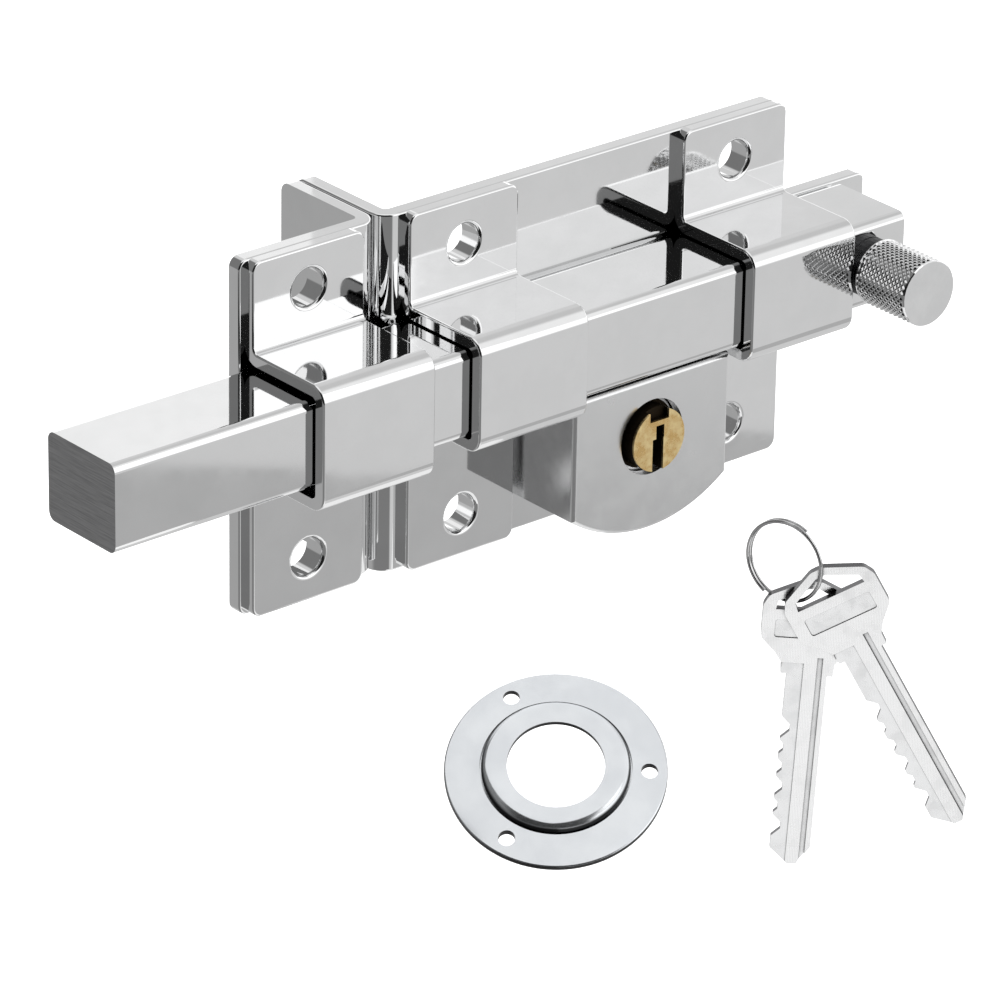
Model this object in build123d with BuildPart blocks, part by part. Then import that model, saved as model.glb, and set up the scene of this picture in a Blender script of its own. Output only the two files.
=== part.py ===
from build123d import *
from math import cos, pi, radians, sin
import os

# Keyed sliding-bar lock for a window or door leaf.
# X runs along the bar, +Y goes back into the leaf, +Z is up.
# The origin is the centre of the main plate's four screw holes, on the plate's back face.

os.makedirs("parts", exist_ok=True)

# ---- driving dimensions, in millimetres ----

# plates and straps
plate_t = 2.5
strap_t = 2.0
main_left = -44.1
main_right = 40.0
main_half_height = 31.2
strike_left = -72.7
strike_right = -44.5
strike_low = -30.0
leg_depth = 19.5
outer_bend = 3.5
inner_bend = 1.0
corner_r = 1.8
edge_roll = 0.4
tongue_end = 60.0

# bar and its travel
bar_z = 5.7
bar_height = 15.0
bar_depth = 17.0
bar_left = -109.9
bar_right = 53.1
bar_edge_r = 1.5
bar_gap = 0.4
bolt_travel = 66.0

# keepers: straps bent round the bar
keeper_w = 22.4
keeper_pitch = 57.6
strike_keeper_x = -60.3
keeper_room = 0.35
strike_room_above = 0.8
strike_room_below = 1.6
strap_bend = 3.0

# wood-screw holes
screw_hole_r = 3.2
main_hole_rise = 23.7
strike_hole_z = 0.9
strike_hole_rise = 23.3

# lock case
case_half_w = 16.6
case_top = -2.8
case_shoulder = -24.1
case_low = -29.7
case_front = 18.2
case_wall = 1.8
case_edge_r = 0.8

# cylinder
cyl_z = -13.2
plug_r = 6.0
plug_front = 20.0
nose_r = 5.45
nose_back = 16.4
plug_fit = 0.05
face_hole_r = 6.6
barrel_r = 8.6
barrel_front = 12.4
pin_r = 1.3
pin_pitch = 3.5
pin_count = 3
chamber_low = -25.8
keyway_top = 2.6
keyway_step = 0.3

# locking dog and its cam
dog_travel = 3.9
dog_back = 12.9
dog_front = 16.0
cam_back = 13.0
cam_front = 15.9
cam_base_r = 6.5
cam_fall = radians(60)
dog_top = -2.6

# knob
knob_x = 45.15
shoulder_r = 5.0
shoulder_len = 3.0
knob_r = 5.7
knob_len = 11.7

# rosette, laid out below the lock with its face tilted up
rosette_centre = (-18.9, -18.0, -68.6)
rosette_turn = radians(41.4)
rosette_lean = radians(57.5)
flange_r = 18.4
flange_rim_t = 0.9
flange_t = 1.5
flange_inner_r = 12.6
ring_groove_r = 13.3
ring_foot_r = 12.95
collar_r = 12.3
opening_r = 8.1
rosette_screw_circle = 15.4
rosette_screw_r = 1.4

# split ring, hung below the lock
ring_centre = (43.9, -4.0, -53.9)
ring_r = 7.3
ring_wire_r = 0.35
ring_turn = radians(75)
ring_turns = 1.5
ring_end_rise = radians(60)

# keys: thickness, blade height and the layout of the cuts
key_turn = radians(40.3)
key_t = 1.6
blade_h = 7.0
blade_end = -36.6
first_cut = 10.4
cut_pitch = 3.8
bitting_depths = (1.5, 0.7, 0.8, 1.2, 0.7, 1.5)

# ---- values that follow ----

bar_back = plate_t + bar_gap
bar_front = bar_back + bar_depth
bar_bottom = bar_z - bar_height / 2
strap_front = bar_front + bar_gap + strap_t
tab_front = plate_t + strap_t
case_inner_front = case_front - case_wall
cam_tip_r = cam_base_r + dog_travel
knob_back = bar_front + shoulder_len
knob_front = knob_back + knob_len
stop_pin_x = keeper_pitch / 2
pin_depths = [barrel_front - 1.6 - i * pin_pitch for i in range(pin_count)]


def front_plane(depth):
    """Upright plane facing the user, a distance in front of the plates' back face."""
    return Plane.XZ.offset(depth)


def save(builder, name):
    """Label a finished piece and write its STEP file."""
    builder.part.label = name
    export_step(builder.part, f"parts/{name}.step")


def nearest_edges(builder, axis, points):
    """The edges along an axis that lie closest to the given points."""
    edges = builder.edges().filter_by(axis)
    return [edges.sort_by_distance(point)[0] for point in points]


def roll_edges(builder, is_rolled):
    """Round the stamped edges that a test picks out."""
    fillet(builder.edges().filter_by(is_rolled), edge_roll)


def plate_front_rim(outer_x, inward):
    """A test for the edges round the outside of an angle plate whose leg is at outer_x."""

    def is_rim(edge):
        centre = edge.center()
        along = (centre.X - outer_x) * inward
        on_face = centre.Y < 0.01 - plate_t and along > outer_bend + 0.01
        on_bend = edge.geom_type == GeomType.CIRCLE and abs(edge.radius - outer_bend) < 0.01
        on_leg = along < 0.01 and 0.01 < centre.Y < leg_depth - 0.01 and edge.length > plate_t + 0.1
        upright = abs(edge.tangent_at(0.5).Z) > 0.99
        return on_face or on_bend or (on_leg and not upright)

    return is_rim


# ---- plates ----

with BuildPart() as main_plate:
    with BuildSketch(Plane.XY.offset(-main_half_height)):
        with BuildLine():
            Polyline(
                (main_right, 0),
                (main_right, -plate_t),
                (main_left, -plate_t),
                (main_left, leg_depth),
                (main_left + plate_t, leg_depth),
                (main_left + plate_t, 0),
                close=True,
            )
        make_face()
    extrude(amount=2 * main_half_height)
    fillet(nearest_edges(main_plate, Axis.Z, [(main_left, -plate_t, 0)]), outer_bend)
    fillet(nearest_edges(main_plate, Axis.Z, [(main_left + plate_t, 0, 0)]), inner_bend)
    plate_corners = [(main_right, 0, side * main_half_height) for side in (-1, 1)]
    fillet(nearest_edges(main_plate, Axis.Y, plate_corners), corner_r)
    leg_corners = [(main_left, leg_depth, side * main_half_height) for side in (-1, 1)]
    fillet(nearest_edges(main_plate, Axis.X, leg_corners), corner_r)
    # tongue behind the free end of the bar
    with BuildSketch(front_plane(0)):
        with Locations(((main_right + tongue_end) / 2 - 2, bar_z)):
            RectangleRounded(tongue_end - main_right + 4, bar_height, 1.5)
    extrude(amount=plate_t)
    roll_edges(main_plate, plate_front_rim(main_left, 1))
    with Locations(front_plane(plate_t)):
        with GridLocations(keeper_pitch, 2 * main_hole_rise, 2, 2):
            Hole(screw_hole_r, depth=plate_t)
        with Locations((0, cyl_z)):
            Hole(7.7, depth=plate_t)
        with Locations((11.3, cyl_z), (-11.3, cyl_z), (12.6, -20.6), (-12.6, -20.6)):
            Hole(1.5, depth=plate_t)
        with Locations((stop_pin_x, bar_z)):
            Hole(2.0, depth=plate_t)
    # countersinks for the screws that come in from the back
    with Locations(Plane.XZ.rotated((0, 0, 180))):
        with Locations((-11.3, cyl_z), (11.3, cyl_z), (-12.6, -20.6), (12.6, -20.6)):
            CounterSinkHole(1.5, 2.9, depth=plate_t, counter_sink_angle=90)
save(main_plate, "main_plate")

with BuildPart() as strike_plate:
    with BuildSketch(Plane.XY.offset(strike_low)):
        with BuildLine():
            Polyline(
                (strike_left, 0),
                (strike_left, -plate_t),
                (strike_right, -plate_t),
                (strike_right, leg_depth),
                (strike_right - plate_t, leg_depth),
                (strike_right - plate_t, 0),
                close=True,
            )
        make_face()
    extrude(amount=main_half_height - strike_low)
    fillet(nearest_edges(strike_plate, Axis.Z, [(strike_right, -plate_t, 0)]), outer_bend)
    fillet(nearest_edges(strike_plate, Axis.Z, [(strike_right - plate_t, 0, 0)]), inner_bend)
    for edge_z in (strike_low, main_half_height):
        fillet(nearest_edges(strike_plate, Axis.Y, [(strike_left, 0, edge_z)]), corner_r)
        fillet(nearest_edges(strike_plate, Axis.X, [(strike_right, leg_depth, edge_z)]), corner_r)
    roll_edges(strike_plate, plate_front_rim(strike_right, -1))
    with Locations(front_plane(plate_t)):
        with Locations((strike_keeper_x, strike_hole_z)):
            with GridLocations(0, 2 * strike_hole_rise, 1, 2):
                Hole(screw_hole_r, depth=plate_t)
save(strike_plate, "strike_plate")


# ---- keepers ----


def make_keeper(name, centre_x, room_above, room_below, low, high, hole_z, hole_rise):
    """A strap with a tab above and below, bent forward round the bar."""
    top = bar_z + bar_height / 2 + room_above
    bottom = bar_z - bar_height / 2 - room_below
    back = -plate_t
    tab = -tab_front
    inner = strap_t - strap_front
    outer = -strap_front
    middle = (top + bottom) / 2
    half_inside = (top - bottom) / 2
    with BuildPart() as keeper:
        with BuildSketch(Plane.YZ.offset(centre_x - keeper_w / 2)):
            with BuildLine():
                Polyline(
                    (back, high),
                    (tab, high),
                    (tab, top + strap_t),
                    (outer, top + strap_t),
                    (outer, bottom - strap_t),
                    (tab, bottom - strap_t),
                    (tab, low),
                    (back, low),
                    (back, bottom),
                    (inner, bottom),
                    (inner, top),
                    (back, top),
                    close=True,
                )
            make_face()
        extrude(amount=keeper_w)
        wide = [(centre_x, outer, top + strap_t), (centre_x, outer, bottom - strap_t)]
        wide += [(centre_x, back, top), (centre_x, back, bottom)]
        tight = [(centre_x, inner, top), (centre_x, inner, bottom)]
        tight += [(centre_x, tab, top + strap_t), (centre_x, tab, bottom - strap_t)]
        fillet(nearest_edges(keeper, Axis.X, wide), strap_bend)
        fillet(nearest_edges(keeper, Axis.X, tight), inner_bend)
        corners = [
            (centre_x + side * keeper_w / 2, back, end) for side in (-1, 1) for end in (low, high)
        ]
        fillet(nearest_edges(keeper, Axis.Y, corners), corner_r)

        def is_outer_rim(edge):
            centre = edge.center()
            in_front = centre.Y < tab + 0.3
            in_bridge = centre.Y > outer + strap_t / 2 and abs(centre.Z - middle) < half_inside + strap_t / 2
            at_side = abs(centre.X - centre_x) > keeper_w / 2 - corner_r - 0.01
            at_end = centre.Z > high - 0.01 or centre.Z < low + 0.01
            return in_front and not in_bridge and (at_side or at_end)

        roll_edges(keeper, is_outer_rim)
        with Locations(front_plane(tab_front)):
            with Locations((centre_x, hole_z)):
                with GridLocations(0, 2 * hole_rise, 1, 2):
                    Hole(screw_hole_r, depth=strap_t)
        circles = keeper.edges().filter_by(GeomType.CIRCLE)
        hole_rims = circles.filter_by(lambda edge: abs(edge.radius - screw_hole_r) < 0.01)
        fillet(hole_rims.group_by(Axis.Y)[0], 0.7)
    save(keeper, name)
    return keeper


strike_keeper = make_keeper(
    "strike_keeper", strike_keeper_x, strike_room_above, strike_room_below,
    strike_low, main_half_height, strike_hole_z, strike_hole_rise,
)
middle_keeper = make_keeper(
    "middle_keeper", -keeper_pitch / 2, keeper_room, keeper_room,
    -main_half_height, main_half_height, 0, main_hole_rise,
)
end_keeper = make_keeper(
    "end_keeper", keeper_pitch / 2, keeper_room, keeper_room,
    -main_half_height, main_half_height, 0, main_hole_rise,
)

# ---- bar, stop pin and knob ----

notch_half_w = 9.7
notch_depth = 4.4
notch_side_room = 0.75

with BuildPart() as bolt_bar:
    with BuildSketch(Plane.YZ.offset(bar_left)):
        with Locations((-(bar_back + bar_front) / 2, bar_z)):
            RectangleRounded(bar_depth, bar_height, bar_edge_r)
    extrude(amount=bar_right - bar_left)
    # one dog notch for each end of the travel, milled in from the back face
    notch_front = dog_front + notch_side_room
    with BuildSketch(Plane.XY.offset(bar_bottom)):
        for notch_x in (0, -bolt_travel):
            with Locations((notch_x, -(bar_back + notch_front) / 2)):
                Rectangle(2 * notch_half_w, notch_front - bar_back)
    extrude(amount=notch_depth, mode=Mode.SUBTRACT)
    # groove in the back face for the stop pin
    with BuildSketch(front_plane(bar_back)):
        with Locations((stop_pin_x - bolt_travel / 2, bar_z)):
            SlotCenterToCenter(bolt_travel, 4.6)
    extrude(amount=2.6, mode=Mode.SUBTRACT)
    # blind hole for the knob's stud
    with BuildSketch(front_plane(bar_front)):
        with Locations((knob_x, bar_z)):
            Circle(2.0)
    extrude(amount=-8, mode=Mode.SUBTRACT)
save(bolt_bar, "bolt_bar")

with BuildPart() as stop_pin:
    with BuildSketch(front_plane(0)):
        with Locations((stop_pin_x, bar_z)):
            Circle(2.0)
    extrude(amount=plate_t + 2.4)
    chamfer(stop_pin.edges().group_by(Axis.Y)[0], 0.3)
save(stop_pin, "stop_pin")

with BuildPart() as knob:
    with BuildSketch(front_plane(bar_front)):
        with Locations((knob_x, bar_z)):
            Circle(shoulder_r)
    extrude(amount=shoulder_len)
    with BuildSketch(front_plane(knob_back)):
        with Locations((knob_x, bar_z)):
            Circle(knob_r)
    extrude(amount=knob_len)
    chamfer(knob.edges().group_by(Axis.Y)[0], 0.35)
    with BuildSketch(front_plane(bar_front)):
        with Locations((knob_x, bar_z)):
            Circle(2.0)
    extrude(amount=shoulder_len + 6, mode=Mode.SUBTRACT)
save(knob, "knob")

with BuildPart() as knob_stud:
    with BuildSketch(front_plane(bar_front - 7.5)):
        with Locations((knob_x, bar_z)):
            Circle(2.0)
    extrude(amount=7.5 + shoulder_len + 5.5)
    chamfer(knob_stud.edges().filter_by(GeomType.CIRCLE), 0.4)
save(knob_stud, "knob_stud")

# ---- lock case ----


case_arc_low = (0, case_low)
case_corner = (case_half_w, case_shoulder)

with BuildSketch(front_plane(plate_t)) as case_outline:
    with BuildLine():
        top_line = Line((-case_half_w, case_top), (case_half_w, case_top))
        side_line = Line(top_line @ 1, case_corner)
        case_arc = ThreePointArc(case_corner, case_arc_low, (-case_half_w, case_shoulder))
        Line(case_arc @ 1, top_line @ 0)
    make_face()

with BuildPart() as lock_case:
    extrude(case_outline.sketch, amount=case_front - plate_t)
    fillet(lock_case.faces().sort_by(Axis.Y)[0].edges(), case_edge_r)
    case_cavity = offset(case_outline.sketch, amount=-case_wall, mode=Mode.PRIVATE)
    extrude(case_cavity, amount=case_inner_front - plate_t, mode=Mode.SUBTRACT)
    # posts that the case screws run into
    with BuildSketch(front_plane(plate_t)):
        with Locations((12.6, -20.6), (-12.6, -20.6)):
            Circle(2.6)
    extrude(amount=case_front - plate_t - 6.4)
    with BuildSketch(front_plane(plate_t)):
        with Locations((12.6, -20.6), (-12.6, -20.6)):
            Circle(1.5)
    extrude(amount=7.5, mode=Mode.SUBTRACT)
    with BuildSketch(front_plane(case_inner_front)):
        with Locations((0, cyl_z)):
            Circle(face_hole_r)
    extrude(amount=case_wall, mode=Mode.SUBTRACT)
    # slot that the dog rises through
    with BuildSketch(Plane.XY.offset(case_top)):
        with Locations((0, -(dog_back + dog_front) / 2)):
            Rectangle(19.2, dog_front - dog_back + 0.5)
    extrude(amount=-case_wall, mode=Mode.SUBTRACT)
save(lock_case, "lock_case")


def make_screws(name, centres, length, shank_r, head_r):
    """Countersunk screws that enter the plate from the back, as one group of solids."""
    head_t = head_r - shank_r
    with BuildPart() as screws:
        for x, z in centres:
            with BuildSketch(front_plane(0)):
                with Locations((x, z)):
                    Circle(head_r)
            extrude(amount=head_t, taper=45)
            with BuildSketch(front_plane(0)):
                with Locations((x, z)):
                    Circle(shank_r)
            extrude(amount=length)
            with BuildSketch(front_plane(0)):
                with Locations((x, z)):
                    RectangleRounded(0.7, 3.2, 0.3)
                    RectangleRounded(3.2, 0.7, 0.3)
            extrude(amount=1.0, mode=Mode.SUBTRACT)
    save(screws, name)
    return screws


case_screws = make_screws("case_screws", [(12.6, -20.6), (-12.6, -20.6)], 9.5, 1.5, 2.8)
cylinder_screws = make_screws("cylinder_screws", [(11.3, cyl_z), (-11.3, cyl_z)], 6.4, 1.5, 2.8)

# ---- key cylinder ----

with BuildPart() as cylinder_body:
    with BuildSketch(front_plane(plate_t)):
        with Locations((0, cyl_z)):
            Circle(barrel_r)
        with Locations((0, (cyl_z + chamber_low) / 2)):
            Rectangle(7.0, cyl_z - chamber_low)
    extrude(amount=barrel_front - plate_t)
    # ears for the two screws
    with BuildSketch(front_plane(plate_t)):
        with Locations((0, cyl_z)):
            SlotCenterToCenter(22.6, 5.6)
    extrude(amount=4.4)
    with BuildSketch(front_plane(plate_t)):
        with Locations((0, cyl_z)):
            Circle(plug_r + plug_fit)
        with Locations((11.3, cyl_z), (-11.3, cyl_z)):
            Circle(1.5)
    extrude(amount=barrel_front - plate_t, mode=Mode.SUBTRACT)
    with BuildSketch(Plane.XY.offset(chamber_low)):
        with Locations([(0, -depth) for depth in pin_depths]):
            Circle(pin_r + 0.1)
    extrude(amount=cyl_z - chamber_low, mode=Mode.SUBTRACT)
save(cylinder_body, "cylinder_body")

with BuildPart() as plug:
    with BuildSketch(front_plane(0)):
        with Locations((0, cyl_z)):
            Circle(plug_r)
    extrude(amount=plug_front)
    # narrower nose that shows in the case's hole
    with BuildSketch(front_plane(nose_back)):
        with Locations((0, cyl_z)):
            Circle(plug_r + 1)
            Circle(nose_r, mode=Mode.SUBTRACT)
    extrude(amount=plug_front - nose_back, mode=Mode.SUBTRACT)
    # groove for the clip at the back
    with BuildSketch(front_plane(1.5)):
        with Locations((0, cyl_z)):
            Circle(plug_r)
            Circle(plug_r - 0.8, mode=Mode.SUBTRACT)
    extrude(amount=0.9, mode=Mode.SUBTRACT)
    # keyway: a narrow upper slot over a wider one that runs out at the bottom
    with BuildSketch(front_plane(0)):
        with Locations((0.2, cyl_z + (keyway_top + keyway_step) / 2)):
            Rectangle(1.7, keyway_top - keyway_step)
        with Locations((-0.2, cyl_z + (keyway_step - plug_r - 1) / 2)):
            Rectangle(2.3, keyway_step + plug_r + 1)
    extrude(amount=plug_front, mode=Mode.SUBTRACT)
    # notch at the top of the face
    with BuildSketch(front_plane(plug_front)):
        with Locations((0, cyl_z + plug_r)):
            Rectangle(4.0, 5.0)
    extrude(amount=-1.2, mode=Mode.SUBTRACT)
    # pin chambers
    with BuildSketch(Plane.XY.offset(cyl_z - plug_r)):
        with Locations([(0, -depth) for depth in pin_depths]):
            Circle(pin_r + 0.1)
    extrude(amount=4.2, mode=Mode.SUBTRACT)
save(plug, "plug")

with BuildPart() as plug_clip:
    with BuildSketch(front_plane(1.55)):
        with Locations((0, cyl_z)):
            Circle(7.2)
            Circle(plug_r - 0.75, mode=Mode.SUBTRACT)
            with Locations((0, 6.5)):
                Rectangle(7.0, 8.0, mode=Mode.SUBTRACT)
    extrude(amount=0.8)
save(plug_clip, "plug_clip")

with BuildPart() as dog_cam:
    # the tip points down at rest, and the radius falls evenly towards +X
    with BuildSketch(Plane((0, -cam_back, cyl_z), x_dir=(1, 0, 0), z_dir=(0, -1, 0))):
        with BuildLine():
            rise_points = []
            for step in range(13):
                turn = step / 12
                radius = cam_tip_r - dog_travel * turn
                angle = -pi / 2 + turn * pi / 2
                rise_points.append((radius * cos(angle), radius * sin(angle)))
            fall_end = -pi / 2 - cam_fall
            rise = Spline(rise_points)
            back_arc = ThreePointArc(
                rise @ 1,
                (0, cam_base_r),
                (cam_base_r * cos(fall_end), cam_base_r * sin(fall_end)),
            )
            Line(back_arc @ 1, rise @ 0)
        make_face()
        Circle(plug_r, mode=Mode.SUBTRACT)
    extrude(amount=cam_front - cam_back)
save(dog_cam, "dog_cam")


def pin_group(name, top_of, bottom_of, radius):
    """One upright pin in each chamber."""
    with BuildPart() as pins:
        for index, depth in enumerate(pin_depths):
            with BuildSketch(Plane.XY.offset(bottom_of(index))):
                with Locations((0, -depth)):
                    Circle(radius)
            extrude(amount=top_of(index) - bottom_of(index))
    save(pins, name)
    return pins


shear_z = cyl_z - plug_r
key_pins = pin_group("key_pins", lambda i: shear_z + 3.6 - 0.4 * i, lambda i: shear_z + 0.3, pin_r)
driver_pins = pin_group("driver_pins", lambda i: shear_z - 0.2, lambda i: shear_z - 2.8, pin_r)


def make_springs(name, centres, bottom, height, radius, wire, turns):
    """Upright coil springs, as one group of solids."""
    with BuildPart() as springs:
        for x, y in centres:
            coil_height = height - 2 * wire
            with BuildLine():
                coil = Helix(coil_height / turns, coil_height, radius, center=(x, y, bottom + wire))
            with BuildSketch(Plane(coil @ 0, z_dir=coil % 0)):
                Circle(wire)
            sweep(path=coil)
    save(springs, name)
    return springs


pin_springs = make_springs(
    "pin_springs", [(0, -depth) for depth in pin_depths],
    chamber_low + 0.1, shear_z - 2.9 - chamber_low - 0.2, 1.0, 0.18, 4,
)

with BuildPart() as spring_cover:
    with BuildSketch(Plane.XY.offset(chamber_low - 0.8)):
        with Locations((0, -(barrel_front + plate_t) / 2)):
            Rectangle(6.0, barrel_front - plate_t - 0.6)
    extrude(amount=0.8)
    fillet(spring_cover.edges().filter_by(Axis.Z), 0.5)
save(spring_cover, "spring_cover")

# ---- locking dog ----

dog_drop = dog_top - (case_top - case_wall - 0.2 - dog_travel)
dog_low = -25.5
window_top = cyl_z + cam_base_r + 0.2
window_low = -24.3

with BuildPart() as locking_dog:
    with BuildSketch(front_plane(dog_back)):
        with BuildLine():
            Polyline(
                (-9.3, dog_top),
                (9.3, dog_top),
                (9.3, dog_top - dog_drop),
                (13.2, dog_top - dog_drop),
                (13.2, -22.6),
                (8.0, dog_low),
                (-8.0, dog_low),
                (-13.2, -22.6),
                (-13.2, dog_top - dog_drop),
                (-9.3, dog_top - dog_drop),
                close=True,
            )
        make_face()
        with BuildLine():
            Polyline(
                (-7.4, window_top),
                (7.4, window_top),
                (7.4, -10.8),
                (11.3, -10.8),
                (11.3, -21.6),
                (6.8, window_low),
                (-6.8, window_low),
                (-11.3, -21.6),
                (-11.3, -10.8),
                (-7.4, -10.8),
                close=True,
            )
        make_face(mode=Mode.SUBTRACT)
        # nib that the cam bears on
        with Locations((0, cyl_z - cam_tip_r - 0.12 - 0.8)):
            Circle(0.8)
    extrude(amount=dog_front - dog_back)
    tongue_ends = [(side * 9.3, -dog_back, dog_top) for side in (-1, 1)]
    fillet(nearest_edges(locking_dog, Axis.Y, tongue_ends), 0.6)
save(locking_dog, "locking_dog")

dog_spring = make_springs(
    "dog_spring", [(0, -(dog_back + dog_front) / 2)], -27.7, 2.1, 1.1, 0.22, 3,
)

# ---- rosette ----

rosette_across = Vector(cos(rosette_turn), -sin(rosette_turn), 0)
rosette_normal = Vector(
    -sin(rosette_turn) * cos(rosette_lean), -cos(rosette_turn) * cos(rosette_lean), sin(rosette_lean)
)
rosette_axis = Axis(rosette_centre, rosette_normal)
rosette_face = Plane(rosette_centre, x_dir=rosette_across, z_dir=rosette_normal)
rosette_section = Plane(
    rosette_centre, x_dir=rosette_across, z_dir=rosette_across.cross(rosette_normal)
)

with BuildPart() as rosette_flange:
    with BuildSketch(rosette_section):
        with BuildLine():
            Polyline(
                (ring_groove_r, 0),
                (flange_r, 0),
                (flange_r, flange_rim_t),
                (flange_inner_r, flange_t),
                (flange_inner_r, 0.8),
                (ring_groove_r, 0.8),
                close=True,
            )
        make_face()
    revolve(axis=rosette_axis)
    fillet(rosette_flange.edges().sort_by(SortBy.LENGTH)[-1], 0.3)
    with BuildSketch(rosette_face):
        with PolarLocations(rosette_screw_circle, 3):
            Circle(rosette_screw_r)
    extrude(amount=flange_t, mode=Mode.SUBTRACT)
save(rosette_flange, "rosette_flange")

with BuildPart() as guard_ring:
    with BuildSketch(rosette_section):
        with BuildLine():
            foot = Polyline(
                (collar_r - 0.9, 0.15),
                (ring_foot_r, 0.15),
                (ring_foot_r, 0.65),
                (collar_r, 0.65),
                (collar_r, 1.7),
            )
            crown = ThreePointArc(foot @ 1, (collar_r - 0.5, 2.55), (collar_r - 2.1, 2.9))
            lip = Line(crown @ 1, (opening_r, 2.6))
            bore = Line(lip @ 1, (opening_r, 1.7))
            under = Line(bore @ 1, (collar_r - 2.1, 2.0))
            hollow = ThreePointArc(under @ 1, (collar_r - 1.2, 1.75), (collar_r - 0.9, 1.1))
            Line(hollow @ 1, foot @ 0)
        make_face()
    revolve(axis=rosette_axis)
save(guard_ring, "guard_ring")

# ---- keys and split ring ----

ring_axis = Vector(-sin(ring_turn), -cos(ring_turn), 0)
ring_pitch = 2 * ring_wire_r + 0.06
ring_side = Vector(cos(ring_turn), -sin(ring_turn), 0)
ring_first = ring_side * cos(ring_end_rise) + Vector(0, 0, sin(ring_end_rise))

with BuildPart() as split_ring:
    # doubled over the top and down the far side; the keys hang on the single stretch
    ring_start = Vector(*ring_centre) - ring_axis * ring_pitch * ring_turns / 2
    ring_place = Plane(ring_start, x_dir=ring_first, z_dir=ring_axis)
    with BuildLine() as ring_path:
        flat_coil = Helix(ring_pitch, ring_turns * ring_pitch, ring_r, mode=Mode.PRIVATE)
        add(ring_place.from_local_coords(flat_coil))
    ring_coil = ring_path.edges()[0]
    with BuildSketch(Plane(ring_coil @ 0, z_dir=ring_coil % 0)):
        Circle(ring_wire_r)
    sweep(path=ring_coil)
save(split_ring, "split_ring")

key_across = Vector(cos(key_turn), -sin(key_turn), 0)
key_normal = Vector(-sin(key_turn), -cos(key_turn), 0)
ring_crossing = sin(ring_turn - key_turn)


def point_on_ring(depth):
    """Where the ring's centreline is a distance in front of its centre, measured square to the keys."""
    share = depth / (ring_r * ring_crossing)
    across = ring_r * share * cos(ring_turn - key_turn)
    drop = ring_r * (1 - share**2) ** 0.5
    return Vector(*ring_centre) + key_across * across + key_normal * depth - Vector(0, 0, drop)


def key_outline(half_blade):
    """The bow's corners, from the shoulder up, for one side."""
    return [
        (half_blade + 1.0, 0),
        (half_blade + 1.1, 2.2),
        (5.8, 4.0),
        (8.5, 6.8),
        (8.5, 12.9),
        (7.5, 14.8),
        (1.2, 17.8),
    ]


def make_key(name, tilt, back, slot_u, slot_v):
    """A flat key hung where the ring crosses it, swung sideways by a tilt in degrees."""
    swing = radians(tilt)
    right = key_across * cos(swing) + Vector(0, 0, sin(swing))
    up = Vector(0, 0, cos(swing)) - key_across * sin(swing)
    pivot = point_on_ring(back + key_t / 2)
    shoulder = pivot - key_normal * (key_t / 2) - right * slot_u - up * slot_v
    key_plane = Plane(shoulder, x_dir=right, z_dir=key_normal)
    half_blade = blade_h / 2
    side = key_outline(half_blade)
    with BuildPart() as key:
        with BuildSketch(key_plane):
            with BuildLine():
                Polyline(*side, *[(-x, y) for x, y in reversed(side)], close=True)
            make_face()
            fillet(vertices().filter_by(lambda corner: corner.Y > 3), 1.8)
            with BuildLine():
                Polyline(
                    (-half_blade, 1),
                    (half_blade, 1),
                    (half_blade, blade_end + 3.4),
                    (1.2, blade_end),
                    (-0.4, blade_end),
                    (-half_blade, blade_end + 2.8),
                    close=True,
                )
            make_face()
            # bow slot
            with BuildLine():
                Polyline(
                    (-6.3, 12.2), (6.3, 12.2), (6.0, 13.8),
                    (0.9, 16.4), (-0.9, 16.4), (-6.0, 13.8), close=True,
                )
            make_face(mode=Mode.SUBTRACT)
            # bitting
            for index, depth in enumerate(bitting_depths):
                cut = -first_cut - index * cut_pitch
                with BuildLine():
                    Polyline(
                        (-half_blade - 0.2, cut + 0.8 + depth),
                        (-half_blade + depth, cut + 0.6),
                        (-half_blade + depth, cut - 0.6),
                        (-half_blade - 0.2, cut - 0.8 - depth),
                        close=True,
                    )
                make_face(mode=Mode.SUBTRACT)
        extrude(amount=key_t)
        for face_depth, inward in ((0, 1), (key_t, -1)):
            # a shallow step along the cut edge and a narrow groove beside the back
            with BuildSketch(key_plane.offset(face_depth)):
                with Locations((-2.6, (blade_end + 2) / 2)):
                    Rectangle(3.9, 2 - blade_end + 0.4)
            extrude(amount=inward * 0.3, mode=Mode.SUBTRACT)
            with BuildSketch(key_plane.offset(face_depth)):
                with Locations((2.1, (blade_end + 3.4) / 2)):
                    Rectangle(1.0, 3.4 - blade_end)
            extrude(amount=inward * 0.45, mode=Mode.SUBTRACT)
            # recessed panel across the bow
            with BuildSketch(key_plane.offset(face_depth)):
                with Locations((0, 8.6)):
                    RectangleRounded(12.4, 3.4, 0.5)
            extrude(amount=inward * 0.2, mode=Mode.SUBTRACT)
    save(key, name)
    return key


key_a = make_key("key_a", -3.0, 0.1, -3.7, 13.5)
key_b = make_key("key_b", 28.4, 2.0, -3.6, 13.6)
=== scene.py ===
import math

import bpy
from mathutils import Matrix, Vector


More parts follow.
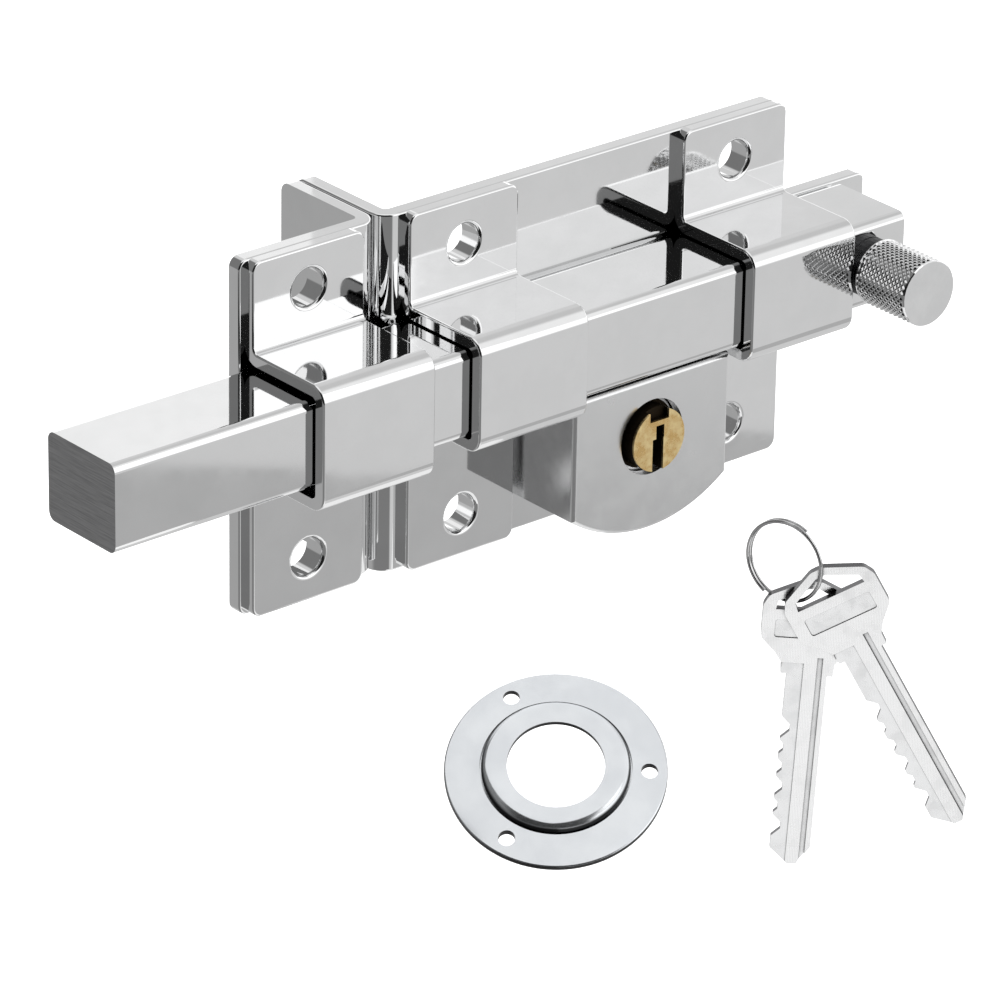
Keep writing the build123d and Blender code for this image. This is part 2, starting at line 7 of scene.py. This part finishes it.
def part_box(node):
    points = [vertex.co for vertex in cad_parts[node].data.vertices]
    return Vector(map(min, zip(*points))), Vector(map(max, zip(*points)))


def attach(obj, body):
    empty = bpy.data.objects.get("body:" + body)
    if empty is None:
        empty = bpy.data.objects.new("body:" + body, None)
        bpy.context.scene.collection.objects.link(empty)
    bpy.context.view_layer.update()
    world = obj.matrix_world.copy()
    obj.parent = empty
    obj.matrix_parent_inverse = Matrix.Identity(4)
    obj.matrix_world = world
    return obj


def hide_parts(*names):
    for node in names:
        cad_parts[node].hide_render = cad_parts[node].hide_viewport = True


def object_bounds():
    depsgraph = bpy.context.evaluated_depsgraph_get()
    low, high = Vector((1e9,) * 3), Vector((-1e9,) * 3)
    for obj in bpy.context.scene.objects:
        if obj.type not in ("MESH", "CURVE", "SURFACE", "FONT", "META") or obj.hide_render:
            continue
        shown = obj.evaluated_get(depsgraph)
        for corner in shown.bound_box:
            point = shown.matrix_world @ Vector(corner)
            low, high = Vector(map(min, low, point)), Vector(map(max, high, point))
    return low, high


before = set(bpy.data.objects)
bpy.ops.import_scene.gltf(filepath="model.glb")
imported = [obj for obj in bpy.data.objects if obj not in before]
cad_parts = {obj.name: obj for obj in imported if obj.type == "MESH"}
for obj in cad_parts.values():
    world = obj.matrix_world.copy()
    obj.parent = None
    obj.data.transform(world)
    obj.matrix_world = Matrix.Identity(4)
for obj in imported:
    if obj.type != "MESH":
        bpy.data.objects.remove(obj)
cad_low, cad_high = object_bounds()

MM = 0.001
WHITE = (1.0, 1.0, 1.0, 1.0)
BLACK = (0.0, 0.0, 0.0, 1.0)

# the faces of the flat keys and of the rosette point these ways
KEY_NORMAL = Vector((-0.646790, -0.762668, 0.0))
ROSETTE_NORMAL = Vector((-0.355322, -0.403042, 0.843391))
KEY_THICKNESS = 1.6 * MM


# ---- camera ----


def add_camera():
    """A long lens, from the left, in front and above."""
    data = bpy.data.cameras.new("camera")
    cam = bpy.data.objects.new("camera", data)
    bpy.context.scene.collection.objects.link(cam)
    right = Vector((0.766879, -0.641599, 0.015718))
    up = Vector((0.260181, 0.333186, 0.906252))
    back = right.cross(up)
    turn = Matrix((right, up, back)).transposed()
    place = Vector((-0.657421, -0.755063, 0.434967))
    cam.matrix_world = Matrix.Translation(place) @ turn.to_4x4()
    data.sensor_width = 36.0
    data.lens = 240.06
    data.shift_x = -0.00145
    data.clip_start = 0.05
    data.clip_end = 50.0
    bpy.context.scene.camera = cam


# ---- node helpers ----


class Nodes:
    """Adds nodes to a tree and links them, so that a material reads from top to bottom."""

    def __init__(self, tree):
        self.tree = tree
        tree.nodes.clear()

    def add(self, kind, **settings):
        node = self.tree.nodes.new(kind)
        for name, value in settings.items():
            setattr(node, name, value)
        return node

    def put(self, value, socket):
        """Links an output, or sets a plain value."""
        if isinstance(value, bpy.types.NodeSocket):
            self.tree.links.new(value, socket)
        else:
            socket.default_value = value

    def math(self, operation, a, b=0.0):
        node = self.add("ShaderNodeMath", operation=operation)
        self.put(a, node.inputs[0])
        self.put(b, node.inputs[1])
        return node.outputs[0]

    def steps(self, value, low, high, to_low=0.0, to_high=1.0):
        """A smooth change from to_low to to_high as value goes from low to high."""
        node = self.add("ShaderNodeMapRange", interpolation_type="SMOOTHSTEP")
        self.put(value, node.inputs["Value"])
        node.inputs["From Min"].default_value = low
        node.inputs["From Max"].default_value = high
        self.put(to_low, node.inputs["To Min"])
        self.put(to_high, node.inputs["To Max"])
        return node.outputs["Result"]

    def mix(self, factor, a, b):
        """a where factor is 0, b where it is 1."""
        node = self.add("ShaderNodeMix", data_type="FLOAT")
        self.put(factor, node.inputs[0])
        self.put(a, node.inputs[2])
        self.put(b, node.inputs[3])
        return node.outputs[0]

    def mix_colour(self, factor, a, b):
        """The same for colours."""
        node = self.add("ShaderNodeMix", data_type="RGBA")
        self.put(factor, node.inputs[0])
        self.put(a, node.inputs[6])
        self.put(b, node.inputs[7])
        return node.outputs[2]

    def split(self, vector):
        """The parts of a vector: x, y, z."""
        node = self.add("ShaderNodeSeparateXYZ")
        self.put(vector, node.inputs[0])
        return node.outputs

    def stretch(self, vector, scale):
        """Scales a vector; noise on it is long where the scale is small and fine where it is large."""
        node = self.add("ShaderNodeMapping")
        self.put(vector, node.inputs["Vector"])
        node.inputs["Scale"].default_value = scale
        return node.outputs[0]

    def noise(self, vector, scale, detail=3.0, roughness=0.5):
        """Noise around 0.5, in patches about 1 / scale across."""
        node = self.add("ShaderNodeTexNoise")
        self.put(vector, node.inputs["Vector"])
        node.inputs["Scale"].default_value = scale
        node.inputs["Detail"].default_value = detail
        node.inputs["Roughness"].default_value = roughness
        return node.outputs[0]

    def dot(self, vector, axis):
        node = self.add("ShaderNodeVectorMath", operation="DOT_PRODUCT")
        self.put(vector, node.inputs[0])
        node.inputs[1].default_value = axis
        return node.outputs["Value"]

    def bump(self, height, distance):
        node = self.add("ShaderNodeBump")
        self.put(height, node.inputs["Height"])
        node.inputs["Distance"].default_value = distance
        node.inputs["Strength"].default_value = 1.0
        return node.outputs[0]


def start_material(name):
    """A material with its shader and object coordinates: (material, nodes, shader, place, facing)."""
    material = bpy.data.materials.new(name)
    material.use_nodes = True
    nodes = Nodes(material.node_tree)
    shader = nodes.add("ShaderNodeBsdfPrincipled")
    output = nodes.add("ShaderNodeOutputMaterial")
    nodes.put(shader.outputs[0], output.inputs["Surface"])
    coordinates = nodes.add("ShaderNodeTexCoord")
    return material, nodes, shader, coordinates.outputs["Object"], coordinates.outputs["Normal"]


# ---- colours: the darkest and the lightest tone of each finish ----

SHEET_TONES = (0.825, 0.828, 0.83, 1), (0.85, 0.852, 0.855, 1)
STRAP_TONES = (0.83, 0.832, 0.835, 1), (0.855, 0.857, 0.86, 1)
SAWN_TONES = (0.26, 0.26, 0.265, 1), (0.46, 0.46, 0.465, 1)
KNOB_TONES = (0.80, 0.803, 0.806, 1), (0.86, 0.862, 0.865, 1)
# painted shade: the knob's neck lies in the knob's shadow, so its steel tones are near black
NECK_SHADE_TONES = (0.035, 0.035, 0.037, 1), (0.09, 0.09, 0.093, 1)
CASE_TONES = (0.79, 0.793, 0.797, 1), (0.83, 0.832, 0.835, 1)
BRASS_TONES = (0.78, 0.52, 0.21, 1), (0.98, 0.79, 0.42, 1)
STEEL_TONES = (0.50, 0.50, 0.505, 1), (0.66, 0.66, 0.665, 1)
WIRE_TONES = (0.50, 0.50, 0.505, 1), (0.72, 0.72, 0.725, 1)
ROSETTE_TONES = (0.80, 0.825, 0.855, 1), (0.88, 0.905, 0.93, 1)
KEY_TONES = (0.78, 0.783, 0.786, 1), (0.98, 0.982, 0.985, 1)
FLOOR_TONES = (0.92, 0.92, 0.92, 1), (0.95, 0.95, 0.95, 1)

# painted shade: the colours below stand in for shade behind the plug's face, on the rosette's walls, and in
# the keys' recesses, corners and cut sides
BRASS_SHADE = (0.03, 0.022, 0.014, 1)
ROSETTE_WALL_SHADE = (0.02, 0.02, 0.021, 1)
KEY_RECESS_SHADE = (0.80, 0.805, 0.81, 1)
KEY_CORNER_SHADE = (0.12, 0.12, 0.122, 1)
KEY_SIDE_SHADE = (0.10, 0.10, 0.105, 1)


# ---- materials ----


def polished(name, tones, rough, wave, wave_height):
    """Chrome plate: slightly uneven sheet, faint polishing haze and fine handling scratches."""
    material, nodes, shader, place, _ = start_material(name)
    shader.inputs["Metallic"].default_value = 1.0
    haze = nodes.noise(place, 140.0, 4.0, 0.6)
    nodes.put(nodes.mix_colour(nodes.steps(haze, 0.35, 0.65), *tones), shader.inputs["Base Color"])
    along_lock = (260.0, 900.0, 2600.0)
    scratch = nodes.noise(nodes.stretch(place, along_lock), 1.0, 2.0, 0.6)
    scratched = nodes.steps(scratch, 0.62, 0.8, 0.0, 0.05)
    hazy = nodes.steps(haze, 0.3, 0.8, rough, rough + 0.035)
    nodes.put(nodes.math("ADD", hazy, scratched), shader.inputs["Roughness"])
    waves = nodes.noise(place, 1.0 / wave, 1.0, 0.4)
    nodes.put(nodes.bump(waves, wave_height), shader.inputs["Normal"])
    return material


def sawn_bar(name):
    """Chrome on the long faces; the two ends show the marks of the saw."""
    material, nodes, shader, place, facing = start_material(name)
    shader.inputs["Metallic"].default_value = 1.0
    ends = nodes.steps(nodes.math("ABSOLUTE", nodes.split(facing)[0]), 0.9, 0.97)
    haze = nodes.noise(place, 110.0, 4.0, 0.6)
    plate = nodes.mix_colour(nodes.steps(haze, 0.35, 0.65), *SHEET_TONES)
    level_cuts = (500.0, 130.0, 4200.0)
    saw = nodes.noise(nodes.stretch(place, level_cuts), 1.0, 4.0, 0.7)
    bare_and_shaded = nodes.mix_colour(nodes.steps(saw, 0.3, 0.7), *SAWN_TONES)
    nodes.put(nodes.mix_colour(ends, plate, bare_and_shaded), shader.inputs["Base Color"])
    shine = nodes.steps(haze, 0.3, 0.8, 0.03, 0.07)
    dull = nodes.steps(saw, 0.3, 0.7, 0.3, 0.5)
    nodes.put(nodes.mix(ends, shine, dull), shader.inputs["Roughness"])
    saw_depth = 0.02 * MM
    wave_height = 0.003 * MM
    sawn = nodes.math("MULTIPLY", nodes.math("MULTIPLY", saw, ends), saw_depth)
    waves = nodes.math("MULTIPLY", nodes.noise(place, 90.0, 1.0, 0.4), wave_height)
    nodes.put(nodes.bump(nodes.math("ADD", sawn, waves), 1.0), shader.inputs["Normal"])
    return material


def satin(name, tones, rough):
    """Finely blasted metal under plating."""
    material, nodes, shader, place, _ = start_material(name)
    shader.inputs["Metallic"].default_value = 1.0
    cloud = nodes.noise(place, 170.0, 4.0, 0.6)
    nodes.put(nodes.mix_colour(nodes.steps(cloud, 0.3, 0.7), *tones), shader.inputs["Base Color"])
    nodes.put(nodes.steps(cloud, 0.3, 0.75, rough, rough + 0.08), shader.inputs["Roughness"])
    specks = nodes.noise(place, 3500.0, 2.0, 0.6)
    nodes.put(nodes.bump(specks, 0.004 * MM), shader.inputs["Normal"])
    return material


def brass(name, front):
    """Blotchy brass with tool marks; behind its front face, at y = front, it is painted near black as
    shade.
    """
    shade_starts = front + 0.15 * MM
    shade_full = front + 0.5 * MM
    material, nodes, shader, place, _ = start_material(name)
    shader.inputs["Metallic"].default_value = 1.0
    blotch = nodes.noise(place, 420.0, 5.0, 0.65)
    bright = nodes.mix_colour(nodes.steps(blotch, 0.35, 0.66), *BRASS_TONES)
    # painted shade: the plug's sides and the gap behind its front face are painted near black
    painted_shade = nodes.steps(nodes.split(place)[1], shade_starts, shade_full)
    nodes.put(nodes.mix_colour(painted_shade, bright, BRASS_SHADE), shader.inputs["Base Color"])
    wear_and_shade = nodes.steps(blotch, 0.3, 0.7, 0.22, 0.42)
    nodes.put(nodes.mix(painted_shade, wear_and_shade, 0.6), shader.inputs["Roughness"])
    level_marks = (900.0, 900.0, 2600.0)
    marks = nodes.noise(nodes.stretch(place, level_marks), 1.0, 3.0, 0.6)
    nodes.put(nodes.bump(marks, 0.012 * MM), shader.inputs["Normal"])
    return material


def turned_steel(name, tones, rough):
    """Plain steel with machining marks and a little staining."""
    material, nodes, shader, place, _ = start_material(name)
    shader.inputs["Metallic"].default_value = 1.0
    stain = nodes.noise(place, 260.0, 5.0, 0.6)
    nodes.put(nodes.mix_colour(nodes.steps(stain, 0.3, 0.7), *tones), shader.inputs["Base Color"])
    round_y = (700.0, 3800.0, 700.0)
    marks = nodes.noise(nodes.stretch(place, round_y), 1.0, 3.0, 0.6)
    nodes.put(nodes.steps(marks, 0.3, 0.7, rough, rough + 0.15), shader.inputs["Roughness"])
    nodes.put(nodes.bump(marks, 0.01 * MM), shader.inputs["Normal"])
    return material


def pressed_white_steel(name):
    """Bright bluish plating on the pressed rosette; its upright walls and its gap are painted near black as
    shade.
    """
    material, nodes, shader, place, facing = start_material(name)
    shader.inputs["Metallic"].default_value = 0.85
    cloud = nodes.noise(place, 120.0, 4.0, 0.55)
    plate = nodes.mix_colour(nodes.steps(cloud, 0.3, 0.7), *ROSETTE_TONES)
    # painted shade: faces that stand upright to the rosette's face are painted near black
    flatness = nodes.math("ABSOLUTE", nodes.dot(facing, ROSETTE_NORMAL))
    wall_shade = nodes.steps(flatness, 0.5, 0.8, 1.0, 0.0)
    nodes.put(nodes.mix_colour(wall_shade, plate, ROSETTE_WALL_SHADE), shader.inputs["Base Color"])
    nodes.put(nodes.steps(cloud, 0.3, 0.75, 0.14, 0.22), shader.inputs["Roughness"])
    waves = nodes.noise(place, 130.0, 2.0, 0.5)
    nodes.put(nodes.bump(waves, 0.005 * MM), shader.inputs["Normal"])
    return material


def belt_lines(nodes, place):
    """Fine crossed lines that repeat every 0.42 mm in x and in z, between -1 and 1."""
    pitch = 2.0 * math.pi / (0.42 * MM)
    along, _, height = nodes.split(place)[:3]
    rise = nodes.math("SINE", nodes.math("MULTIPLY", nodes.math("ADD", along, height), pitch))
    fall = nodes.math("SINE", nodes.math("MULTIPLY", nodes.math("SUBTRACT", along, height), pitch))
    return nodes.math("MULTIPLY", rise, fall)


def recessed(nodes, depth, face):
    """1 in a key's shallow recesses, just behind its front face, and 0 on the face and further back."""
    under = nodes.steps(depth, face - 0.12 * MM, face - 0.06 * MM, 1.0, 0.0)
    near = nodes.steps(depth, face - 0.62 * MM, face - 0.56 * MM)
    return nodes.math("MULTIPLY", under, near)


def key_nickel(name, front_a, front_b):
    """Nickel plate with the crossed lines that a belt leaves; recesses, corners and cut sides carry painted
    shade.

    front_a and front_b say where the front faces of key_a and key_b lie along the keys' normal.
    """
    material, nodes, shader, place, facing = start_material(name)
    shader.inputs["Metallic"].default_value = 1.0
    cloud = nodes.noise(place, 300.0, 4.0, 0.6)
    hatch = belt_lines(nodes, place)
    shade = nodes.steps(cloud, 0.3, 0.7, 0.0, 0.4)
    tone = nodes.math("ADD", shade, nodes.steps(hatch, -0.6, 0.6, 0.0, 0.6))
    plate = nodes.mix_colour(tone, *KEY_TONES)
    depth = nodes.dot(place, KEY_NORMAL)
    sunk = nodes.math("MAXIMUM", recessed(nodes, depth, front_a), recessed(nodes, depth, front_b))
    # painted shade: the shallow recesses just behind each key's front face are painted darker
    recess_shaded = nodes.mix_colour(nodes.math("MULTIPLY", sunk, 0.7), plate, KEY_RECESS_SHADE)
    # painted shade: ambient occlusion darkens corners and where the two bows lie against each other
    corner = nodes.add("ShaderNodeAmbientOcclusion", samples=12)
    corner.inputs["Distance"].default_value = 1.6 * MM
    painted_shade = nodes.steps(corner.outputs["AO"], 0.35, 0.85, 1.0, 0.0)
    wear_and_shade = nodes.mix_colour(painted_shade, recess_shaded, KEY_CORNER_SHADE)
    # painted shade: the cut sides stand square to the flat faces and are painted near black
    flatness = nodes.math("ABSOLUTE", nodes.dot(facing, KEY_NORMAL))
    side_shade = nodes.steps(flatness, 0.55, 0.85, 1.0, 0.0)
    nodes.put(nodes.mix_colour(side_shade, wear_and_shade, KEY_SIDE_SHADE), shader.inputs["Base Color"])
    nodes.put(nodes.steps(cloud, 0.3, 0.75, 0.2, 0.34), shader.inputs["Roughness"])
    level_lines = (900.0, 900.0, 5200.0)
    cut = nodes.noise(nodes.stretch(place, level_lines), 1.0, 3.0, 0.6)
    relief = nodes.math("ADD", nodes.math("MULTIPLY", hatch, 0.35), cut)
    nodes.put(nodes.bump(relief, 0.006 * MM), shader.inputs["Normal"])
    return material


def front_along_normal(key):
    """Where a key's front face lies along the keys' normal.

    A key is a flat plate, so the middle of its box is half its thickness behind that face.
    """
    low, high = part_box(key)
    middle = (low + high) / 2
    return middle.dot(KEY_NORMAL) + KEY_THICKNESS / 2


def make_materials():
    """One material for each of the record's material slots."""
    plug_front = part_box("plug")[0].y
    key_fronts = [front_along_normal(key) for key in ("key_a", "key_b")]
    return {
        "chrome_sheet": polished("sheet_chrome", SHEET_TONES, 0.03, wave=14 * MM, wave_height=0.009 * MM),
        "chrome_strap": polished("strap_chrome", STRAP_TONES, 0.035, wave=11 * MM, wave_height=0.016 * MM),
        "bar_chrome": sawn_bar("bar_chrome_sawn"),
        "knob_chrome": polished("knob_plate", KNOB_TONES, 0.08, wave=6 * MM, wave_height=0.004 * MM),
        "case_chrome": satin("case_satin", CASE_TONES, 0.2),
        "brass": brass("plug_brass", plug_front),
        "steel": turned_steel("turned_steel", STEEL_TONES, 0.25),
        "rosette_steel": pressed_white_steel("rosette_plate"),
        "key_nickel": key_nickel("key_plate", *key_fronts),
        "ring_steel": turned_steel("ring_wire", WIRE_TONES, 0.04),
    }


def dress_nodes(materials):
    """Every CAD node takes the material of its own slot."""
    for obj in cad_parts.values():
        for slot in obj.material_slots:
            slot.material = materials[slot.material.name.split(".")[0]]


# ---- knurled knob ----

# 34 diamonds in each of 2 * 10 - 1 staggered rings; FLAT is half the width of a diamond's flat
# top, in half steps around the knob and half rows along it
KNURL_AROUND = 34
KNURL_ROWS = 10
HALF_STEPS = 2 * KNURL_AROUND
HALF_ROWS = 2 * KNURL_ROWS
GROOVE_DEPTH = 0.3 * MM
FLAT = 0.38
SHOULDER_LENGTH = 3.0 * MM
SHOULDER_RADIUS = 5.0 * MM
CHAMFER = 0.45 * MM
BAND_GAP = 0.1 * MM
BAND_DROP = 0.02 * MM
RIM_LENGTH = 0.16 * MM
RIM_DROP = 0.2 * MM
DISH = 0.03 * MM


class Shell:
    """Collects points and faces of one mesh."""

    def __init__(self):
        self.points = []
        self.faces = []

    def point(self, p):
        self.points.append(p)
        return len(self.points) - 1

    def face(self, *corners):
        self.faces.append(corners)

    def build(self, name):
        mesh = bpy.data.meshes.new(name)
        mesh.from_pydata(self.points, [], self.faces)
        mesh.validate()
        mesh.update()
        obj = bpy.data.objects.new(name, mesh)
        bpy.context.scene.collection.objects.link(obj)
        return obj


class KnobShell(Shell):
    """The knob's surface. It is set out in half steps around its axis and half rows along it."""

    def __init__(self, low, high):
        super().__init__()
        self.x = (low.x + high.x) / 2
        self.z = (low.z + high.z) / 2
        self.radius = (high.x - low.x) / 2
        self.front = low.y
        self.back = high.y
        self.shoulder_y = self.back - SHOULDER_LENGTH
        self.knurl_front = self.front + CHAMFER
        self.knurl_back = self.shoulder_y - CHAMFER
        self.crossings = {}

    def turned(self, step, y, r):
        """Adds the point at this half step, distance along and radius."""
        angle = math.pi * step / KNURL_AROUND
        return self.point((self.x + r * math.cos(angle), y, self.z + r * math.sin(angle)))

    def row_y(self, row):
        return self.knurl_front + (self.knurl_back - self.knurl_front) * row / HALF_ROWS

    def crossing_steps(self, row):
        """The half steps at which the grooves cross in this half row: every other one."""
        return [step for step in range(HALF_STEPS) if (row + step) % 2 == 0]

    def cut_grooves(self):
        groove_r = self.radius - GROOVE_DEPTH
        for row in range(HALF_ROWS + 1):
            for step in self.crossing_steps(row):
                self.crossings[row, step] = self.turned(step, self.row_y(row), groove_r)

    def raise_diamonds(self):
        for row in range(1, HALF_ROWS):
            for step in self.crossing_steps(row + 1):
                self.raise_diamond(row, step)

    def raise_diamond(self, row, step):
        """A pyramid with a small flat on top, between four crossings."""
        y = self.row_y(row)
        reach = (self.row_y(1) - self.row_y(0)) * FLAT
        corners = [
            self.crossings[row, (step - 1) % HALF_STEPS],
            self.crossings[row - 1, step],
            self.crossings[row, (step + 1) % HALF_STEPS],
            self.crossings[row + 1, step],
        ]
        tops = [
            self.turned(step - FLAT, y, self.radius),
            self.turned(step, y - reach, self.radius),
            self.turned(step + FLAT, y, self.radius),
            self.turned(step, y + reach, self.radius),
        ]
        self.face(*tops)
        for i in range(4):
            j = (i + 1) % 4
            self.face(corners[i], corners[j], tops[j], tops[i])

    def close_end(self, row, rings):
        """Fills the teeth of an end row, goes inwards over rings, each (y, radius), and closes the last."""
        inward = 1 if row == 0 else -1
        steps = self.crossing_steps(row)
        previous = [self.crossings[row, step] for step in steps]
        for index, step in enumerate(steps):
            after = previous[(index + 1) % len(previous)]
            tip = self.crossings[row + inward, (step + 1) % HALF_STEPS]
            self.face(previous[index], after, tip)
        for y, r in rings:
            ring = [self.turned(step, y, r) for step in steps]
            for index in range(len(ring)):
                after = (index + 1) % len(ring)
                self.face(previous[index], previous[after], ring[after], ring[index])
            previous = ring
        self.face(*previous)

    def front_rings(self):
        """A plain band, a rounded rim and the slightly dished front face."""
        band_r = self.radius - BAND_DROP
        return [
            (self.knurl_front - BAND_GAP, band_r),
            (self.front + RIM_LENGTH, band_r),
            (self.front, self.radius - RIM_DROP),
            (self.front + 0.01 * MM, self.radius - 0.6 * MM),
            (self.front + DISH, self.radius * 0.45),
            (self.front + DISH, self.radius * 0.12),
        ]

    def back_rings(self):
        """A plain band, a rounded rim, the back of the head and the neck."""
        band_r = self.radius - BAND_DROP
        return [
            (self.knurl_back + BAND_GAP, band_r),
            (self.shoulder_y - RIM_LENGTH, band_r),
            (self.shoulder_y, self.radius - RIM_DROP),
            (self.shoulder_y, SHOULDER_RADIUS),
            (self.back - RIM_DROP, SHOULDER_RADIUS),
            (self.back, SHOULDER_RADIUS - RIM_DROP),
            (self.back, 1.5 * MM),
        ]


def knurled_knob(plate, bare_and_shaded):
    """A turned knob that takes the place of the CAD one: plated, with its neck and the back of its head
    painted near black as shade.
    """
    shell = KnobShell(*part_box("knob"))
    shell.cut_grooves()
    shell.raise_diamonds()
    shell.close_end(0, shell.front_rings())
    plated = len(shell.faces)
    shell.close_end(HALF_ROWS, shell.back_rings())
    knob = shell.build("knurled_knob")
    knob.data.materials.append(plate)
    knob.data.materials.append(bare_and_shaded)
    for face in knob.data.polygons:
        # painted shade: the neck and the back of the head take near-black steel tones
        if face.index >= plated and face.center.y > shell.shoulder_y - 0.02 * MM:
            face.material_index = 1
    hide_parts("knob")
    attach(knob, "bolt")


# ---- surroundings ----

FLOOR_SIZE = 12.0
FLOOR_DROP = 6.0 * MM


def add_floor():
    """A wide white sheet below the object, so bright that it runs into the background."""
    bpy.ops.mesh.primitive_plane_add(size=FLOOR_SIZE, location=(0.0, 0.0, cad_low.z - FLOOR_DROP))
    floor = bpy.context.object
    floor.name = "floor"
    material, nodes, shader, place, _ = start_material("floor_white")
    grain = nodes.noise(place, 60.0, 2.0)
    nodes.put(nodes.mix_colour(grain, *FLOOR_TONES), shader.inputs["Base Color"])
    shader.inputs["Roughness"].default_value = 1.0
    shader.inputs["Emission Color"].default_value = WHITE
    shader.inputs["Emission Strength"].default_value = 1.0
    floor.data.materials.append(material)
    floor.visible_glossy = False
    floor.visible_diffuse = False


def right_side(nodes, x, y, z, behind):
    """Grey below the horizon, a bright band above it, and a white tent higher up and overhead."""
    tent = nodes.mix(behind, 0.97, 0.71)
    above = nodes.mix(nodes.steps(z, 0.28, 0.4), 1.35, tent)
    bright = nodes.mix(nodes.steps(z, -0.14, 0.04), 0.67, above)
    middle = nodes.steps(nodes.math("ABSOLUTE", y), 0.12, 0.4, 1.0, 0.0)
    raised = nodes.math("MULTIPLY", middle, nodes.steps(z, 0.5, 0.75))
    overhead = nodes.math("MULTIPLY", raised, nodes.steps(x, 0.2, 0.4))
    return nodes.mix(overhead, bright, 0.62)


def left_side(nodes, z, behind):
    """Grey below the horizon; above it, almost black in front and dark grey behind."""
    low = nodes.mix(behind, 0.22, 0.4)
    high = nodes.mix(behind, 0.015, 0.2)
    return nodes.mix(nodes.steps(z, -0.2, -0.06), low, high)


def studio_world():
    """What the metal reflects, by direction: bright on the right and at the top, dark on the left."""
    world = bpy.data.worlds.new("studio")
    world.use_nodes = True
    bpy.context.scene.world = world
    nodes = Nodes(world.node_tree)
    direction = nodes.add("ShaderNodeTexCoord").outputs["Generated"]
    x, y, z = nodes.split(direction)[:3]
    behind = nodes.steps(y, -0.2, 0.2)
    left = left_side(nodes, z, behind)
    right = right_side(nodes, x, y, z, behind)
    sides = nodes.mix(nodes.steps(x, -0.1, 0.06), left, right)
    light = nodes.mix(nodes.steps(z, 0.82, 0.93), sides, 1.02)
    path = nodes.add("ShaderNodeLightPath")
    shown = nodes.mix(path.outputs["Is Camera Ray"], light, 1.0)
    background = nodes.add("ShaderNodeBackground")
    background.inputs["Color"].default_value = WHITE
    nodes.put(shown, background.inputs["Strength"])
    output = nodes.add("ShaderNodeOutputWorld")
    nodes.put(background.outputs[0], output.inputs["Surface"])


def add_card(name, seen_from, towards, width, height, strength, reach=0.35):
    """A plain card for the metal to reflect, square to a ray that leaves seen_from."""
    towards = Vector(towards).normalized()
    bpy.ops.mesh.primitive_plane_add(size=1.0, location=Vector(seen_from) + towards * reach)
    card = bpy.context.object
    card.name = name
    card.rotation_mode = "QUATERNION"
    card.rotation_quaternion = towards.to_track_quat("-Z", "Y")
    card.scale = (width, height, 1.0)
    material, nodes, shader, place, _ = start_material(name)
    shader.inputs["Base Color"].default_value = BLACK
    shader.inputs["Emission Color"].default_value = WHITE
    weave = nodes.noise(place, 30.0, 2.0)
    level = nodes.steps(weave, 0.2, 0.8, strength * 0.98, strength * 1.02)
    nodes.put(level, shader.inputs["Emission Strength"])
    card.data.materials.append(material)
    card.visible_camera = False
    card.visible_shadow = False
    card.visible_diffuse = False


def add_cards():
    """Two white cards and a grey one for the lock, and a white card each for the keys and the rosette."""
    add_card(
        "card_front",
        seen_from=(-0.139, -0.01, 0.02),
        towards=(0.587, -0.691, 0.422),
        width=0.15,
        height=0.16,
        strength=1.42,
    )
    add_card(
        "card_back",
        seen_from=(-0.135, -0.01, 0.014),
        towards=(0.587, 0.691, 0.422),
        width=0.09,
        height=0.12,
        strength=0.98,
    )
    add_card(
        "card_low",
        seen_from=(0.0, -0.01, -0.075),
        towards=(0.587, -0.691, -0.422),
        width=0.34,
        height=0.11,
        strength=0.46,
    )
    add_card(
        "card_keys",
        seen_from=(0.0525, -0.012, -0.0845),
        towards=(-0.587, -0.691, -0.422),
        width=0.09,
        height=0.1,
        strength=1.02,
        reach=0.12,
    )
    add_card(
        "card_rosette",
        seen_from=(-0.0189, -0.018, -0.0686),
        towards=(0.0, 0.0, 1.0),
        width=0.044,
        height=0.042,
        strength=0.93,
        reach=0.014,
    )


def main():
    bpy.context.scene.view_settings.view_transform = "Standard"
    add_camera()
    add_floor()
    studio_world()
    add_cards()
    materials = make_materials()
    dress_nodes(materials)
    # painted shade: near-black steel for the knob's neck and the back of its head
    neck = turned_steel("knob_neck_painted_shade", NECK_SHADE_TONES, 0.4)
    knurled_knob(materials["knob_chrome"], neck)


main()
